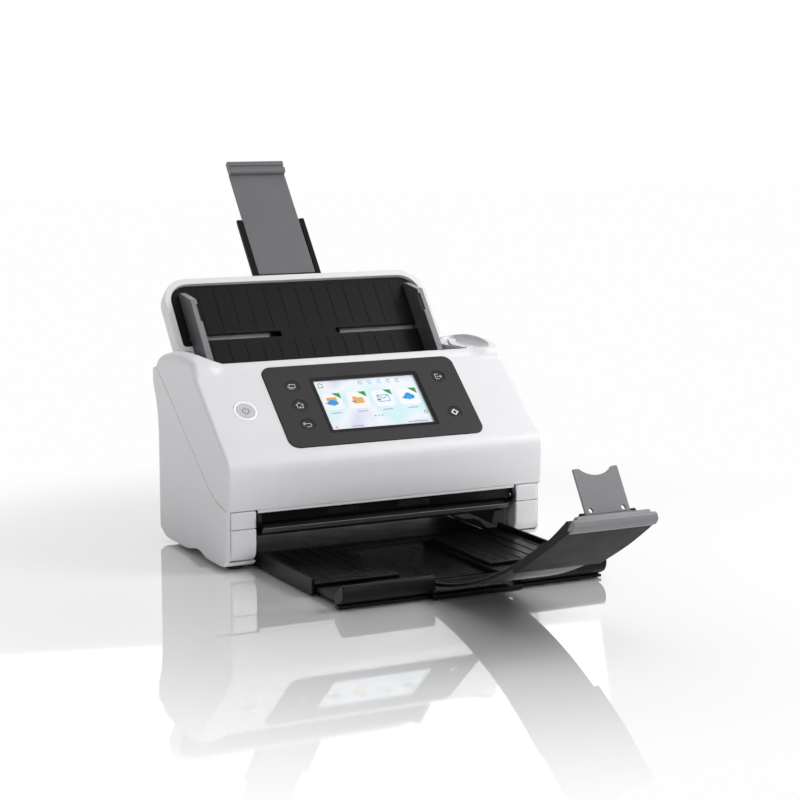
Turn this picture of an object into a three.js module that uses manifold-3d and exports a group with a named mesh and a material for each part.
// Sheet fed document scanner with a lift-off input tray, an opening front cover and a
// telescoping output tray. Millimetres, +Z up, +X to the right seen from the front, front
// towards -Y. The feet stand on z = 0.
import * as THREE from 'three';
import { mergeVertices } from 'three/addons/utils/BufferGeometryUtils.js';
import Module from 'manifold-3d';

const wasm = await Module();
wasm.setup();

// ---------------------------------------------------------------- driving dimensions
// Pairs are (y, z) unless noted.
const CENTRING_Y = 135.54;         // moves the machine so its bounding box is centred in y
const HALF_W = 148;                // half width of the body
const FRONT_Y = -108;              // front face of the base
const REAR_Y = 56;                 // rear face of the base
const WALL = 3;                    // casing thickness
const SKIN = 2.5;                  // cover thickness
const INSIDE_HALF = HALF_W - WALL - 0.4;  // half width of parts fitted between the walls
const EDGE_R = 7;                  // vertical edge radius at the front corners
const BAY_HALF = 121.5;            // half width of the output tray bay
const BAY_TOP = 24;                // ceiling of the output tray bay
const PIVOT = [-104, 42];          // cover hinge axis
const FACE_TOP = [-34.5, 156.7];   // top of the sloped control face
const FACE_UP = [0.7501, 0.6613];  // up-slope direction of the control face
const FACE_LENGTH = 88.4;
const PATH_START = [0, 106];       // where the sheets enter the transport
const PATH_ANGLE = 33.226;         // slope of the paper path, degrees
const TRAY_ORIGIN = [162.65, 311.3];  // reference point on the input sheet plane
const TRAY_UP = [0.6214, 0.7835];  // up-slope direction of the input tray
const ROLL_R = 8;                  // driven roller radius
const SHAFT_DEPTH = ROLL_R + 0.2;  // driven shafts below the paper path
const ROLL_AT = { pickup: 14, feed: 40, transport: 66, eject: 106 };  // distance down the path
const SCAN_AT = 86;                // distance of the scan windows down the path
const GUIDE_X = 112;               // centre of an edge guide
const ARC_CENTRE = [-202.5, 375];  // centre of the output extension's arc
const ARC_R = 369;                 // reference radius of the extension arc
const STAGE_HALF = 118;            // half width of the output tray
const GEAR_MODULE = 1;             // all gears and racks
const PRESSURE_ANGLE = 20;         // degrees
const BACKLASH = 0.12;
const ADDENDUM = 0.9 * GEAR_MODULE;
const DEDENDUM = 1.15 * GEAR_MODULE;
const PINION_TEETH = 12;
const GEAR_TEETH = 28;

// ---------------------------------------------------------------- frames
const rad = (degrees) => degrees * Math.PI / 180;

// coordinates: x, along the (y, z) direction `up`, normal to both
function sheetFrame([y, z], [c, s]) {
  return new THREE.Matrix4().set(1, 0, 0, 0, 0, c, -s, y, 0, s, c, z, 0, 0, 0, 1);
}
// coordinates: along the (y, z) direction `up`, normal to it, depth along x
function profileFrame([y, z], [c, s]) {
  return new THREE.Matrix4().set(0, 0, 1, 0, c, -s, 0, y, s, c, 0, z, 0, 0, 0, 1);
}
const PATH_UP = [Math.cos(rad(PATH_ANGLE)), Math.sin(rad(PATH_ANGLE))];
const WORLD = sheetFrame([0, 0], [1, 0]);
const SIDE = profileFrame([0, 0], [1, 0]);   // (y, z), depth along x
const FRONT = sheetFrame([0, 0], [0, 1]);    // (x, z), depth along -y
const FACE = sheetFrame(FACE_TOP, FACE_UP);
const TRAY = sheetFrame(TRAY_ORIGIN, TRAY_UP);
const TRAY_SIDE = profileFrame(TRAY_ORIGIN, TRAY_UP);
const PATH = sheetFrame(PATH_START, PATH_UP);
const PATH_SIDE = profileFrame(PATH_START, PATH_UP);

// (y, z) of a point on the control face, `up` along its slope from the top
function facePoint(up) {
  return [FACE_TOP[0] + up * FACE_UP[0], FACE_TOP[1] + up * FACE_UP[1]];
}
// (y, z) of a point `down` the paper path and `above` it
function pathPoint(down, above) {
  const [c, s] = PATH_UP;
  return [PATH_START[0] - down * c - above * s, PATH_START[1] - down * s + above * c];
}
// (y, z) on the extension arc; angles run from straight below the centre to the front
function arcPoint(radius, degrees) {
  const angle = rad(degrees);
  return [ARC_CENTRE[0] - radius * Math.sin(angle), ARC_CENTRE[1] - radius * Math.cos(angle)];
}

// ---------------------------------------------------------------- solids
function toSolid(geometry, frame = WORLD) {
  geometry.applyMatrix4(frame);
  for (const key of Object.keys(geometry.attributes)) {
    if (key !== 'position') geometry.deleteAttribute(key);
  }
  const merged = mergeVertices(geometry, 1e-4);
  const mesh = new wasm.Mesh({
    numProp: 3,
    vertProperties: new Float32Array(merged.attributes.position.array),
    triVerts: new Uint32Array(merged.index.array),
  });
  mesh.merge();
  return new wasm.Manifold(mesh);
}
function toGeometry(solid) {
  const mesh = solid.getMesh();
  const geometry = new THREE.BufferGeometry();
  const positions = new Float32Array(mesh.vertProperties);
  geometry.setAttribute('position', new THREE.BufferAttribute(positions, 3));
  geometry.setIndex(new THREE.BufferAttribute(new Uint32Array(mesh.triVerts), 1));
  return geometry;
}
const unite = (...solids) => solids.reduce((sum, solid) => sum.add(solid));
const cut = (solid, ...tools) => tools.reduce((rest, tool) => rest.subtract(tool), solid);

// x range on the left (side -1) or right (side 1), given for the right
const span = (side, x0, x1) => (side < 0 ? [-x1, -x0] : [x0, x1]);
// the solid make(x0, x1) on the right and its counterpart on the left
const pair = (make, x0, x1) => unite(make(-x1, -x0), make(x0, x1));
const SIDES = [['left', -1], ['right', 1]];

function polyShape(points) {
  return new THREE.Shape(points.map(([x, y]) => new THREE.Vector2(x, y)));
}
// outline is a point list or a shape
function prism(outline, from, to, frame = SIDE, curveSegments = 5) {
  const shape = Array.isArray(outline) ? polyShape(outline) : outline;
  const settings = { depth: to - from, bevelEnabled: false, curveSegments };
  const geometry = new THREE.ExtrudeGeometry(shape, settings);
  return toSolid(geometry.translate(0, 0, from), frame);
}
function box(x0, x1, y0, y1, z0, z1, frame = WORLD) {
  const geometry = new THREE.BoxGeometry(x1 - x0, y1 - y0, z1 - z0);
  geometry.translate((x0 + x1) / 2, (y0 + y1) / 2, (z0 + z1) / 2);
  return toSolid(geometry, frame);
}
// radius is one value, or a list: low-left, low-right, high-right, high-left
function roundRect(x0, x1, y0, y1, radius) {
  const [lowLeft, lowRight, highRight, highLeft] =
    Array.isArray(radius) ? radius : [radius, radius, radius, radius];
  const quarter = Math.PI / 2;
  const shape = new THREE.Shape();
  const corner = (x, y, r, start) => {
    if (r) shape.absarc(x, y, r, start, start + quarter);
  };
  shape.moveTo(x0 + lowLeft, y0);
  shape.lineTo(x1 - lowRight, y0);
  corner(x1 - lowRight, y0 + lowRight, lowRight, -quarter);
  shape.lineTo(x1, y1 - highRight);
  corner(x1 - highRight, y1 - highRight, highRight, 0);
  shape.lineTo(x0 + highLeft, y1);
  corner(x0 + highLeft, y1 - highLeft, highLeft, quarter);
  shape.lineTo(x0, y0 + lowLeft);
  corner(x0 + lowLeft, y0 + lowLeft, lowLeft, 2 * quarter);
  return shape;
}
// disc in a frame's first two axes
function disc([x, y], radius, from, to, frame, sides = 20) {
  const geometry = new THREE.CylinderGeometry(radius, radius, to - from, sides);
  geometry.rotateX(Math.PI / 2);
  return toSolid(geometry.translate(x, y, (from + to) / 2), frame);
}
// rod along x about (y, z)
const rod = (centre, radius, x0, x1, sides = 16) => disc(centre, radius, x0, x1, SIDE, sides);

// turned piece along x from rows of (x0, x1, radius), closed on its axis
function turned([y, z], steps, sides = 16) {
  const points = [new THREE.Vector2(0, steps[0][0])];
  for (const [x0, x1, r] of steps) points.push(new THREE.Vector2(r, x0), new THREE.Vector2(r, x1));
  points.push(new THREE.Vector2(0, steps.at(-1)[1]));
  return toSolid(new THREE.LatheGeometry(points, sides).rotateZ(-Math.PI / 2).translate(0, y, z));
}
// spur gear with involute flanks; a tooth is centred on the angle `phase`
function gear({ teeth, phase, bore, centre, from, to, frame, curveSegments }) {
  const pitchR = teeth * GEAR_MODULE / 2;
  const baseR = pitchR * Math.cos(rad(PRESSURE_ANGLE));
  const tipR = pitchR + ADDENDUM;
  const rootR = pitchR - DEDENDUM;
  const involute = (r) => {
    const angle = Math.acos(Math.min(1, baseR / r));
    return Math.tan(angle) - angle;
  };
  const baseHalf = Math.PI / (2 * teeth) - BACKLASH / (2 * pitchR) + involute(pitchR);
  const flank = [rootR, baseR, pitchR, tipR].map((r) => [r, involute(r) - baseHalf]);
  const tooth = [...flank, ...flank.map(([r, angle]) => [r, -angle]).reverse()];
  const points = [];
  for (let i = 0; i < teeth; i++) {
    for (const [r, offset] of tooth) {
      const angle = phase + i * 2 * Math.PI / teeth + offset;
      points.push([centre[0] + r * Math.cos(angle), centre[1] + r * Math.sin(angle)]);
    }
  }
  const shape = polyShape(points);
  shape.holes.push(new THREE.Path().absarc(...centre, bore, 0, Math.PI * 2, true));
  return prism(shape, from, to, frame, curveSegments);
}

const root = new THREE.Group();
root.name = 'scanner';
const FINISHES = {
  absWhite: { color: 0xe6e6e2, roughness: 0.55 },
  armWhite: { color: 0xdededa, roughness: 0.55 },
  bezelDark: { color: 0x3a3839, roughness: 0.45 },
  blackPlastic: { color: 0x1c1b1d, roughness: 0.42 },
  guideGrey: { color: 0x4c4b4d, roughness: 0.5 },
  rampGrey: { color: 0x4d4c4e, roughness: 0.5 },
  lightGrey: { color: 0x8c8b8c, roughness: 0.5 },
  rubber: { color: 0x26262a, roughness: 0.85 },
  rollerRubber: { color: 0x55585c, roughness: 0.8 },
  steel: { color: 0xa8abad, roughness: 0.35, metalness: 1 },
  glass: { color: 0x9fb4bb, roughness: 0.05 },
  screen: { color: 0xcfdff0, roughness: 0.15 },
  board: { color: 0x1f5a3a, roughness: 0.5 },
  sensor: { color: 0x2b2b30, roughness: 0.5 },
  gearWhite: { color: 0xd8d6cc, roughness: 0.5 },
  keyDark: { color: 0x2d2c2f, roughness: 0.4 },
  powerGrey: { color: 0xb9babc, roughness: 0.4 },
  ring: { color: 0xf4f7f9, roughness: 0.3 },
};
function part(name, solid, finish) {
  const material = new THREE.MeshStandardMaterial({ metalness: 0, ...FINISHES[finish] });
  const mesh = new THREE.Mesh(toGeometry(solid), material);
  mesh.name = name;
  root.add(mesh);
}

// ---------------------------------------------------------------- base casing
// top edge of the housing sides, (y, z), before the gap to the cover
const PART_LINE = [
  [-108, 51], [-99.2, 52.6], [-79.3, 58.6], [-59.5, 70.4], [-26.5, 94.6], [27, 134.2], [53, 152.1],
];
const PART_GAP = 0.25;
// (y, z), along the bottom to the rear, up and back along the part line
const HOUSING_OUTER = [
  [-108, 22], [-106.5, 14], [-103, 8], [-96, 3.6], [-72, 3.2], [-57, 4], [-46, 6.8], [-29, 6],
  [-9, 3.2], [23, 3.2], [37, 4.6], [49, 12], [55, 20], [REAR_Y, 42], [REAR_Y, 92], [57.2, 106],
  [59.4, 116], [62.6, 125], [66.4, 132.5], [68.4, 139], [66.6, 145], [61, 149.6],
  ...PART_LINE.map(([y, z]) => [y, z - PART_GAP]).reverse(),
];
const HOUSING_INNER = [
  [-125, 8], [-57, 9], [-46, 10], [-29, 10], [-9, 8], [34, 8], [46, 15], [52, 23],
  [REAR_Y - WALL, 43], [REAR_Y - WALL, 93], [54.2, 107], [56.4, 117], [59.6, 126.4],
  [63.2, 133.6], [64.9, 139], [62.6, 143.4], [57, 147], [49.6, 149], [49.6, 200], [-125, 200],
];
// body-wide block with rounded vertical edges, for trimming
function planBlock(y0, y1, frontR, rearR, bottom = -5) {
  const corners = [frontR, frontR, rearR, rearR];
  return prism(roundRect(-HALF_W, HALF_W, y0, y1, corners), bottom, 260, WORLD);
}
function rearHousing() {
  const trim = unite(
    planBlock(FRONT_Y, 57.2, EDGE_R, 10),
    planBlock(FRONT_Y, 68.6, EDGE_R, 12, 106));
  return cut(prism(HOUSING_OUTER, -HALF_W, HALF_W).intersect(trim),
    prism(HOUSING_INNER, -HALF_W + WALL, HALF_W - WALL),
    box(-BAY_HALF, BAY_HALF, -130, 51, -5, 27),      // output tray bay
    box(-131, 131, 40, 72, 146, 160),                // top rear edge
    box(-95.3, 15.3, 40, 80, 29.7, 66.3));           // port opening
}
part('rear_housing', rearHousing(), 'absWhite');

// bay ceiling with a wall down each side
part('base_pan', unite(
  box(-INSIDE_HALF, INSIDE_HALF, -84, 50.4, BAY_TOP, BAY_TOP + 2.5),
  pair((x0, x1) => box(x0, x1, -84, 35, 10.4, BAY_TOP + 1), 122, 124.5)), 'blackPlastic');

// front arms beside the bay, (y, z)
const ARM_BLOCK = [
  [FRONT_Y, 35.8], [FRONT_Y, 22], [-106.5, 14], [-103, 9.4], [-98, 8.9], [-92, 8.9], [-92, 35.8],
];
const HINGE_CAP = [
  [FRONT_Y, 36.2], [-92, 36.2], [-92, 49.5], [-93, 50.8], [-106, 50.8], [-107.3, 50.1],
  [FRONT_Y, 48.5],
];
for (const [name, side] of SIDES) {
  const width = span(side, 122.3, INSIDE_HALF);
  const trim = planBlock(FRONT_Y, 0, EDGE_R, 1);
  const pinHole = rod(PIVOT, 2.8, ...span(side, 120, 134.3));
  part(`${name}_arm_block`, prism(ARM_BLOCK, ...width).intersect(trim), 'armWhite');
  part(`${name}_hinge_cap`, cut(prism(HINGE_CAP, ...width).intersect(trim), pinHole), 'armWhite');
  part(`${name}_hinge_pin`, rod(PIVOT, 2.5, ...span(side, 117.2, 134)), 'steel');
}

for (const [row, y] of [['front', -86], ['rear', 8]]) {
  for (const [name, side] of SIDES) {
    part(`foot_${row}_${name}`, disc([side * 133, y], 7, 0, 2.9, WORLD), 'rubber');
  }
}

// ---------------------------------------------------------------- paper transport, base side
// cutter through a path plate, centred `down` the path
function slot(down, half, x0, x1, from = -8, to = 8) {
  return box(x0, x1, -down - half, -down + half, from, to, PATH);
}
function slotPair(down, half, x0, x1) {
  return pair((a, b) => slot(down, half, a, b), x0, x1);
}
part('path_plate', cut(
  unite(box(-116, 116, -128.6, 3, -3, -1, PATH), box(-116, 116, -128.6, -125, -6, -2, PATH)),
  slot(ROLL_AT.pickup, 8.6, -26, 26),
  slot(ROLL_AT.feed, 8.6, -26, 26),
  slotPair(ROLL_AT.transport, 8.6, 24, 56),
  slotPair(ROLL_AT.eject, 8.6, 20, 50),
  slot(SCAN_AT, 7, -108, 108)), 'guideGrey');

// window and sensor bodies fill the slots at SCAN_AT; from and to are normal to the path
const scanGlass = (from, to) => slot(SCAN_AT, 6.6, -107.6, 107.6, from, to);
const imageSensor = (from, to) => box(-110, 110, -93.5, -78.5, from, to, PATH);
part('lower_scan_glass', scanGlass(-3, -1.1), 'glass');
part('lower_image_sensor', imageSensor(-17, -3.4), 'sensor');

const shaftAt = (station) => pathPoint(ROLL_AT[station], -SHAFT_DEPTH);
// (x0, x1, radius) rows of a shaft that carries tyres
function tyreSteps(x0, x1, shaftR, tyreR, tyres) {
  const steps = [];
  let x = x0;
  for (const [start, end] of tyres) {
    steps.push([x, start, shaftR], [start, end, tyreR]);
    x = end;
  }
  return [...steps, [x, x1, shaftR]];
}
// station, x ranges of the tyres; the pulley is at the left end
const DRIVEN_ROLLERS = [
  ['pickup', [[-23, -5], [5, 23]]],
  ['feed', [[-23, -5], [5, 23]]],
  ['eject', [[-47, -23], [23, 47]]],
  ['transport', [[-53, -27], [27, 53]]],
];
for (const [station, tyres] of DRIVEN_ROLLERS) {
  const steps = [[-137, -130.2, 5.7], ...tyreSteps(-130.2, 123, 3, ROLL_R, tyres)];
  part(`${station}_roller`, turned(shaftAt(station), steps), 'rollerRubber');
}

// spur gear on the transport shaft, and the motor pinion that drives it
const MOTOR_BEARING = rad(-30);    // direction from the gear to the motor
const GEAR_DISTANCE = (GEAR_TEETH + PINION_TEETH) / 2 * GEAR_MODULE;
const gearCentre = shaftAt('transport');
const motorCentre = [
  gearCentre[0] + GEAR_DISTANCE * Math.cos(MOTOR_BEARING),
  gearCentre[1] + GEAR_DISTANCE * Math.sin(MOTOR_BEARING),
];
const driveFace = { from: -127, to: -122, frame: SIDE };
part('drive_gear', gear({
  teeth: GEAR_TEETH, phase: 0, bore: 3.3, centre: gearCentre, curveSegments: 8, ...driveFace,
}), 'gearWhite');
// the pinion's space sits where the gear's tooth crosses the line of centres
const gearPitches = MOTOR_BEARING * GEAR_TEETH / (2 * Math.PI);
const pinionPhase = MOTOR_BEARING + Math.PI + (0.5 + gearPitches) * 2 * Math.PI / PINION_TEETH;
part('motor_pinion', gear({
  teeth: PINION_TEETH, phase: pinionPhase, bore: 1.5, centre: motorCentre, curveSegments: 6,
  ...driveFace,
}), 'steel');

function driveMotor() {
  const [y, z] = motorCentre;
  return unite(
    rod(motorCentre, 14, -116, -84, 24),                       // can
    rod(motorCentre, 5, -84.5, -80),                           // end boss
    box(-116, -113.6, y - 13.2, y + 19, z - 12, z + 12),       // flange
    rod(motorCentre, 1.2, -126.5, -112, 12));                  // shaft
}
part('drive_motor', driveMotor(), 'steel');

// belt round the shaft pulleys: a run with half round ends, in PATH_SIDE coordinates
function beltOutline(radius) {
  const points = [];
  for (const [down, start] of [[ROLL_AT.pickup, -Math.PI / 2], [ROLL_AT.eject, Math.PI / 2]]) {
    for (let i = 0; i <= 8; i++) {
      const angle = start + Math.PI * i / 8;
      points.push([-down + radius * Math.cos(angle), -SHAFT_DEPTH + radius * Math.sin(angle)]);
    }
  }
  return polyShape(points);
}
const belt = beltOutline(7.3);
belt.holes.push(beltOutline(6.05));
part('drive_belt', prism(belt, -136, -131, PATH_SIDE), 'rubber');

const SIDE_FRAME = [
  pathPoint(-2, -2), pathPoint(100, -2), pathPoint(118, -3),
  [-93, 31], [-84, 27.2], [30, 27.2], [30, 96],
];
for (const [name, side] of SIDES) {
  const holeSpan = span(side, 116, 122);
  const holes = Object.keys(ROLL_AT).map((station) => rod(shaftAt(station), 3.3, ...holeSpan));
  if (name === 'left') holes.push(rod(motorCentre, 6.5, ...holeSpan));
  part(`${name}_side_frame`, cut(prism(SIDE_FRAME, ...span(side, 118, 120)), ...holes), 'steel');
}

// board with the bodies of its connectors and components
part('main_board', unite(
  box(-110, 100, 44, 45.6, 34, 112),
  box(20, 55, 40, 45, 60, 95),
  box(-20, 5, 41, 45, 80, 105),
  box(-80, -45, 38, 45, 72, 100),
  box(-108, -98, 36, 45, 40, 90)), 'board');
part('rear_port_panel', cut(
  unite(box(-95, 15, 53.2, 55.4, 30, 66), box(-90, 10, 48.5, 54, 34, 62)),
  box(-84, -68, 50, 60, 40, 53),
  box(-56, -43, 50, 60, 40, 52),
  disc([-10, 47], 4.5, -60, -50, FRONT, 16)), 'blackPlastic');

// ---------------------------------------------------------------- opening cover
const faceBottom = facePoint(-FACE_LENGTH);
// (y, z) outlines: front part, its hollow, the raised shoulders and their hollow
const COVER_OUTER = [
  [-108, 51.3], [-109.2, 60], [-110, 75], [-110, 84], [-108.8, 89.8], [-105.8, 93.8],
  faceBottom, facePoint(0), [-31.5, 160], [-28, 162], [-24.6, 160.6], [-24.6, 156.5],
  [-30, 154], [-60, 100], [-60, 70.8], [-79.3, 59.0], [-99.2, 53],
];
const COVER_INNER = [
  [-125, 40], [-105.2, 52], [-106.6, 60], [-107.5, 75], [-107.5, 83.6], [-106.6, 88],
  [-104, 91.8], [faceBottom[0] + 1.6, faceBottom[1] - 2.0], [-33.5, 153.6], [-31, 153.2],
  [-20, 100], [-20, 40],
];
const SHOULDER_OUTER = [
  facePoint(-60), facePoint(-12), [-37, 159.6], [-30, 164.4], [-18, 167.7], [0, 169.3],
  [20, 168.5], [38, 165], [49.6, 158.8], [53.2, 152.7], [27, 134.8], [-26.5, 95.2], [-59.5, 71],
];
const SHOULDER_INNER = [
  [-66, 124], [-35.5, 151.5], [-31, 156], [-19, 157.6], [-6.5, 158], [10, 158], [25, 157.8],
  [40, 156], [48, 151], [49, 140], [-26.5, 80], [-66, 50],
];
const SHOULDER_X = 118;            // inner face of a shoulder
// (x, z) of the cutter that slopes a shoulder's top down towards the middle, right side
const SHOULDER_FALL = [
  [138, 170.4], [128, 165.4], [120.6, 161.2], [117.9, 160.6], [117.9, 200], [138, 200],
];
const POWER_AT = [-114.4, -44.8];  // power button centre on the control face

function frontCover() {
  const frontMask = prism(roundRect(-HALF_W, HALF_W, 40, 169.6, [0, 0, 13, 13]), -120, 140, FRONT);
  const outer = unite(
    prism(COVER_OUTER, -HALF_W, HALF_W),
    pair((x0, x1) => prism(SHOULDER_OUTER, x0, x1), SHOULDER_X, HALF_W));
  const falls = SIDES.map(([, side]) =>
    prism(SHOULDER_FALL.map(([x, z]) => [side * x, z]), -90, 60, FRONT));
  const shell = cut(outer.intersect(planBlock(-110, 80, 8, 6)).intersect(frontMask),
    prism(COVER_INNER, -HALF_W + SKIN, HALF_W - SKIN),
    pair((x0, x1) => prism(SHOULDER_INNER, x0, x1), SHOULDER_X + SKIN, HALF_W - SKIN),
    box(-84, 92, -85, -3.5, -6, 3, FACE),            // control panel opening
    disc(POWER_AT, 10.7, -6, 3, FACE, 24),
    ...falls,
    box(117, 138, -25, 17, 160.4, 180));             // release lever pocket
  const pocketFloor = box(118.2, 141, -28, 21, 157.6, 160.4);
  return unite(shell, pocketFloor);
}
part('front_cover', frontCover(), 'absWhite');

// path-side plate, turned-up front end, throat wall and hinge lugs, (y, z)
const COVER_PLATE = [
  pathPoint(4, 1.4), pathPoint(115, 1.4), pathPoint(116.5, 3.4), pathPoint(4, 3.4),
];
const COVER_TURN_UP = [
  pathPoint(115, 1.4), pathPoint(118, 5.5), [-95.5, 55.5], [-93, 55.5],
  pathPoint(114, 5.2), pathPoint(112, 2.5),
];
const COVER_THROAT = [
  pathPoint(4, 1.4), pathPoint(4, 3.4),
  [-9.5, 118], [-26.8, 154.8], [-24.6, 155.1], [-6.4, 119], [-1.8, 112.4],
];
const COVER_JOINT = [[-95.5, 54], [-93, 54], [-90, 57], [-92.5, 58]];
const LUG = [[-109, 44], [-99, 40.5], [-92, 50], [-88, 62], [-104, 70], [-105, 52]];
function coverInnerFrame() {
  const plates = [COVER_PLATE, COVER_TURN_UP, COVER_THROAT, COVER_JOINT]
    .map((outline) => prism(outline, -115.5, 115.5));
  const lug = (x0, x1) => unite(rod(PIVOT, 6, x0, x1, 20), prism(LUG, x0, x1));
  return cut(
    unite(...plates, pair(lug, 118.6, 121.3), box(-121, 121, -104.6, -90, 56, 58.2)),
    pair((x0, x1) => rod(PIVOT, 2.9, x0, x1), 110, 130),
    slot(ROLL_AT.feed, 10, -34, 34, 0, 8),
    slot(ROLL_AT.transport, 8, -56, 56, 0, 8),
    slot(ROLL_AT.eject, 6.4, -52, 52, 0, 12),
    slot(SCAN_AT, 7, -108, 108, 0, 8));
}
part('cover_inner_frame', coverInnerFrame(), 'blackPlastic');
part('upper_scan_glass', scanGlass(1.5, 3.4), 'glass');
part('upper_image_sensor', imageSensor(3.8, 17), 'sensor');

// name, station, half length, shaft radius, tyre radius, tyre x ranges, sides
const UPPER_ROLLERS = [
  ['separation_roller', 'feed', 30, 3, ROLL_R, [[-23, 23]], 16],
  ['upper_transport_roller', 'transport', 54, 2, 6, [[-50, -30], [30, 50]], 14],
  ['upper_eject_roller', 'eject', 50, 2, 5, [[-46, -24], [24, 46]], 14],
];
for (const [name, station, half, shaftR, tyreR, tyres, sides] of UPPER_ROLLERS) {
  const centre = pathPoint(ROLL_AT[station], tyreR + 0.25);
  const steps = tyreSteps(-half, half, shaftR, tyreR, tyres);
  part(name, turned(centre, steps, sides), 'rollerRubber');
}

// ---------------------------------------------------------------- control panel
// name, (x, distance up the control face)
const KEYS = [
  ['scan_key', [-65, -22.7]], ['home_key', [-65, -44]], ['back_key', [-65, -65.3]],
  ['stop_key', [75, -22.9]], ['start_key', [75, -64.1]],
];
part('control_panel_bezel', cut(
  unite(
    prism(roundRect(-87.5, 95.3, -FACE_LENGTH, 0, 9), 0.3, 1.1, FACE),
    prism(roundRect(-83.6, 91.6, -84.6, -3.9, 3), -2.2, 0.6, FACE)),
  prism(roundRect(-44.3, 52.3, -73.1, -18.2, 1), -3, 3, FACE),   // visible screen area
  box(-47.6, 55.6, -76.3, -15.5, -3, -0.2, FACE),                // screen seat
  ...KEYS.map(([, centre]) => disc(centre, 6.6, -3, 3, FACE))), 'bezelDark');
part('touch_screen', box(-47.2, 55.2, -76, -15.8, -3.6, -0.5, FACE), 'screen');
part('panel_board', box(-78, 86, -82, -8, -7, -5.2, FACE), 'board');
for (const [name, centre] of KEYS) part(name, disc(centre, 6.25, -3.6, 1.0, FACE), 'keyDark');
part('power_light_ring', cut(
  disc(POWER_AT, 10.4, -2.4, 0.4, FACE, 24),
  disc(POWER_AT, 8.2, -4, 2, FACE, 24)), 'ring');
part('power_button', disc(POWER_AT, 7.9, -4, 0.5, FACE, 24), 'powerGrey');

// release lever in the right shoulder pocket: plate, raised rear end, front bead
const LEVER_X = [120, 137.4];
const LEVER_END = [
  [6, 161], [12, 161], [14.6, 163.4], [15.2, 167.6], [13, 167.8], [11.4, 164.4], [7, 162.4],
];
part('cover_release_lever', unite(
  box(...LEVER_X, -23.6, 12, 160.9, 162.6),
  prism(LEVER_END, ...LEVER_X),
  rod([-21.6, 162.4], 1.4, ...LEVER_X, 12)), 'lightGrey');

// ---------------------------------------------------------------- input tray
// TRAY coordinates: x, up the slope, off the sheet plane
part('tray_shell', cut(
  unite(
    prism(roundRect(-130, 130, -188, -113, [4, 4, 25, 25]), -12, 2, TRAY),
    box(-117, 117, -245, -186, -12, 1.6, TRAY)),
  prism(roundRect(-124, 124, -184, -119, [3, 3, 19, 19]), -10.5, 6, TRAY),
  box(-115.6, 115.6, -260, -182, -10.5, 6, TRAY),
  box(-35, 35, -125, -100, -10.6, -6.4, TRAY)), 'absWhite');       // extension mouth
part('tray_liner', cut(
  unite(
    prism(roundRect(-123.6, 123.6, -183.6, -119.4, [3, 3, 18.6, 18.6]), -3.9, -1, TRAY),
    box(-115.2, 115.2, -244.6, -182, -3.9, -1, TRAY)),
  pair((x0, x1) => box(x0, x1, -177, -171, -6, 2, TRAY), 27, 116.5)), 'blackPlastic');

// two telescoping support stages
part('tray_extension_lower', unite(
  box(-34, 34, -178, -45, -10.2, -9.0, TRAY),
  pair((x0, x1) => box(x0, x1, -178, -45, -10.0, -6.9, TRAY), 29, 34)), 'blackPlastic');
// notched block at the upper end, (up the slope, off the sheet plane)
const EXTENSION_END = [
  [5.4, -8.8], [19.4, -8.8], [19.4, -4], [17.8, -1.8], [14, -1.8], [12.5, -5], [10.9, -1.4],
  [7.2, -1.4], [5.4, -3.4],
];
part('tray_extension_upper', unite(
  box(-28.4, 28.4, -106, 6, -8.7, -7.1, TRAY),
  prism(EXTENSION_END, -28, 28, TRAY_SIDE)), 'lightGrey');

// edge guides, linked by a rack on either side of one pinion
const RACK_UP = -174;              // pinion centre up the slope
const RACK_LAYER = [-6.6, -4.5];   // off the sheet plane
// (up the slope, off the sheet plane)
const GUIDE_BLADE = [[-205, -0.6], [-127.5, -0.6], [-129.5, 4], [-148, 22], [-205, 22]];

// teethUp 1 points the teeth up the slope, -1 down it
function rack(x0, x1, teethUp) {
  const pitch = Math.PI * GEAR_MODULE;
  const half = pitch / 4 - 0.07;   // half tooth on the pitch line
  const lean = Math.tan(rad(PRESSURE_ANGLE));
  const rootUp = RACK_UP - teethUp * (PINION_TEETH * GEAR_MODULE / 2 + DEDENDUM);
  const tipUp = rootUp + teethUp * (DEDENDUM + ADDENDUM);
  const backUp = rootUp - teethUp * 2.2;
  const rootHalf = half + DEDENDUM * lean;
  const tipHalf = half - ADDENDUM * lean;
  const last = Math.floor((x1 - 2) / pitch);
  const points = [[x0, backUp], [x0, rootUp]];
  for (let i = Math.ceil((x0 + 2) / pitch); i <= last; i++) {
    const x = i * pitch;
    // each flank's foot is offset from its tip by the full tooth height's lean
    points.push(
      [x - rootHalf, rootUp], [x - half + ADDENDUM * lean, tipUp],
      [x + tipHalf, tipUp], [x + rootHalf, rootUp]);
  }
  points.push([x1, rootUp], [x1, backUp]);
  return prism(points, ...RACK_LAYER, TRAY);
}
function edgeGuide(side) {
  const width = span(side, GUIDE_X - 3, GUIDE_X + 3);
  const [footLow, footHigh] = span(side, -2.5, 6.4);
  return cut(
    unite(
      prism(GUIDE_BLADE, ...width, TRAY_SIDE),
      box(...width, RACK_UP - 2.4, RACK_UP + 2.4, -6.4, 1, TRAY),                    // stem
      box(...width, RACK_UP + footLow, RACK_UP + footHigh, ...RACK_LAYER, TRAY),     // foot
      rack(...span(side, -9, GUIDE_X + 3), -side)),
    box(...span(side, GUIDE_X - 4, GUIDE_X - 1.2), -171, -153, 19, 30, TRAY));       // top notch
}
for (const [name, side] of SIDES) part(`${name}_edge_guide`, edgeGuide(side), 'guideGrey');
part('guide_pinion', gear({
  teeth: PINION_TEETH, phase: -Math.PI / 2 + Math.PI / PINION_TEETH, bore: 1.6,
  centre: [0, RACK_UP], from: RACK_LAYER[0], to: RACK_LAYER[1], frame: TRAY, curveSegments: 6,
}), 'gearWhite');

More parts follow.
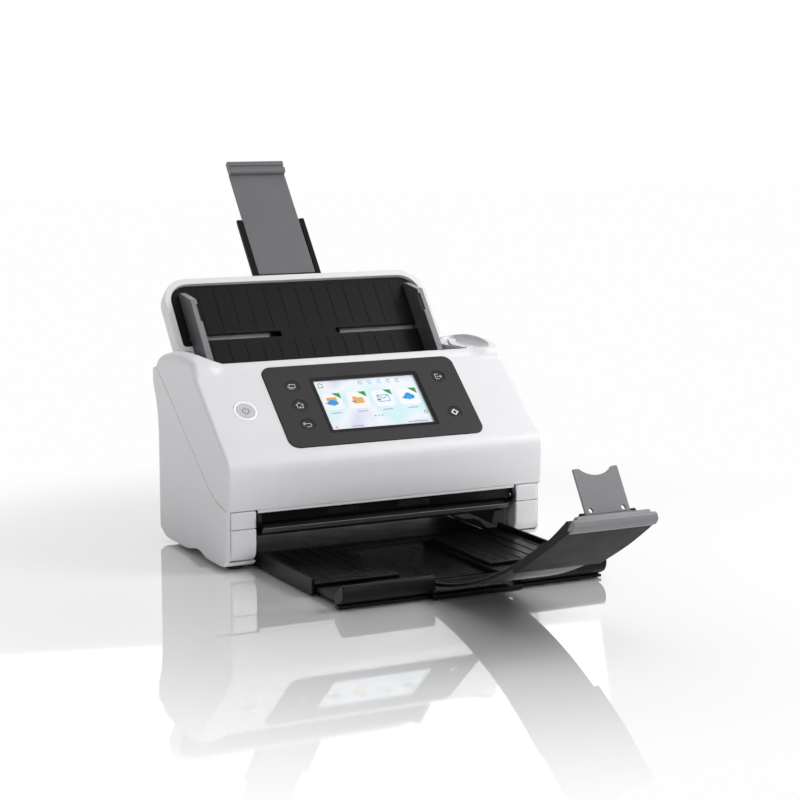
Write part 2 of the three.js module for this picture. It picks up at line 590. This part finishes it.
// ---------------------------------------------------------------- output tray
// rear stage: floor with side walls, open centre channel
part('output_tray_rear', cut(
  unite(
    box(-STAGE_HALF, STAGE_HALF, -206, -88, 8.4, 10.6),
    pair((x0, x1) => box(x0, x1, -206, -88, 1, 14.6), STAGE_HALF - 3, STAGE_HALF),
    box(-STAGE_HALF, STAGE_HALF, -97, -88, 2.3, 3.2),
    pair((x0, x1) => box(x0, x1, -97, -88, 1.2, 9), 41.5, STAGE_HALF)),
  box(-41.5, 41.5, -240, -104, 3.2, 30),
  box(-41.5, 41.5, -105, -60, 3.2, 8.4)), 'blackPlastic');

// front stage: floor plates under the rear stage, rolled front beam and a lower lip,
// with a shallow channel let into the middle
const FRONT_BEAM = [
  [-246.4, 6], [-246.4, 12.4], [-256, 19.2], [-259.5, 20.2], [-261.6, 18.8], [-262.2, 15],
  [-261.4, 10.5], [-258.4, 6.6], [-254, 4.4], [-250, 4.0],
];
function outputTrayFront() {
  const halves = cut(
    unite(
      prism(FRONT_BEAM, -117.6, 117.6),
      box(-114.4, 114.4, -248, -140, 4.2, 7.6),
      box(-117.6, 117.6, -254, -246.6, 0.8, 3.1),
      box(-117.6, 117.6, -250, -246.6, 0.9, 7)),
    box(-39, 39, -280, -243, 3.1, 40),
    box(-39, 39, -244, -130, -2, 40));
  return unite(halves,
    box(-39.4, 39.4, -249, -122, 0.8, 2.0),
    pair((x0, x1) => box(x0, x1, -242, -140, 0.7, 7.2), 38.6, 41));
}
part('output_tray_front', outputTrayFront(), 'blackPlastic');

// (y, z) band along the extension arc; `swell` is added to the outer radius by the far end
function arcBand(innerR, outerR, fromAngle, toAngle, steps, swell = 0) {
  const outer = [];
  const inner = [];
  for (let i = 0; i <= steps; i++) {
    const f = i / steps;
    const angle = fromAngle + (toAngle - fromAngle) * f;
    outer.push(arcPoint(outerR + swell * f * f, angle));
    inner.push(arcPoint(innerR, angle));
  }
  return [...outer, ...inner.reverse()];
}
part('extension_arm',
  prism(arcBand(ARC_R - 3.4, ARC_R - 0.6, 6, 32, 10), -36.2, 36.2), 'blackPlastic');

// the stopper plate turns on stub pins in two ears near the tip of the ramp
const STOPPER_ANGLE = 41.07;       // place of the hinge along the arc
const STOPPER_LEAN = 32;           // direction of the plate, degrees from vertical
const HINGE = arcPoint(ARC_R - 3, STOPPER_ANGLE);
const fromVertical = (degrees) => [Math.sin(rad(degrees)), Math.cos(rad(degrees))];
// EAR: towards the arc's centre, towards the tip, depth x; STOPPER: x, up the plate, normal
const EAR = profileFrame(HINGE, fromVertical(STOPPER_ANGLE));
const STOPPER = sheetFrame(HINGE, fromVertical(STOPPER_LEAN));

const RAMP_HALF = 37.4;
const RAMP_NOTCH = [[-480, 90], [-449.2, 90], [-444, 99], [-444, 120], [-480, 120]];
// (x, y) of the cutter that narrows the ramp towards its tip, right side
const RAMP_TAPER = [[RAMP_HALF, -404], [36.2, -424], [34.4, -460], [60, -460], [60, -404]];
// (radius, degrees) on the extension arc
const RAMP_TIP = [
  [377, 41.1], [374.6, 41.9], [371, 42.15], [365, 42.15], [363.6, 41.95], [363.6, 41.5],
  [369.4, 41.5], [370.5, 41.1],
];
const EAR_OUTLINE = [[-4.2, -2.4], [-4.2, 1.4], [1.2, 1.4], [2.2, 0.6], [2.2, -1.2], [1.2, -2.4]];

// slides along under the arm between two low rails, and thickens towards its tip
function stopperRamp() {
  const rail = arcBand(ARC_R - 2, ARC_R + 1, 28, 41, 6);
  const tapers = SIDES.map(([, side]) =>
    prism(RAMP_TAPER.map(([x, y]) => [side * x, y]), -10, 150, WORLD));
  const slide = cut(
    unite(
      prism(arcBand(ARC_R - 0.3, ARC_R + 3.2, 28, 41.3, 7, 4.8), -RAMP_HALF, RAMP_HALF),
      pair((x0, x1) => prism(rail, x0, x1), 36.5, RAMP_HALF)),
    pair((x0, x1) => prism(RAMP_NOTCH, x0, x1), 35.4, 40),
    ...tapers);
  const tip = prism(RAMP_TIP.map(([radius, angle]) => arcPoint(radius, angle)), -34.4, 34.4);
  const ear = (x0, x1) => cut(prism(EAR_OUTLINE, x0, x1, EAR), rod(HINGE, 1.3, x0 - 1, x1 + 1, 12));
  return unite(slide, tip, pair(ear, 19.2, 22.6));
}
part('stopper_ramp', stopperRamp(), 'rampGrey');

// plate with stub pins, a round bite out of its top edge and two holes by the hinge
part('stopper_plate', cut(
  unite(
    box(-18.4, 18.4, -1.9, 35, -0.9, 0.9, STOPPER),
    pair((x0, x1) => rod(HINGE, 0.95, x0, x1, 12), 17.6, 21.6)),
  disc([0, 35 + 12.6], 18.5, -3, 3, STOPPER, 28),
  ...[-13.4, 13.4].map((x) => disc([x, 3.4], 1.8, -3, 3, STOPPER, 14))), 'lightGrey');

root.position.set(0, CENTRING_Y, 0);
root.updateMatrixWorld(true);
export default root;
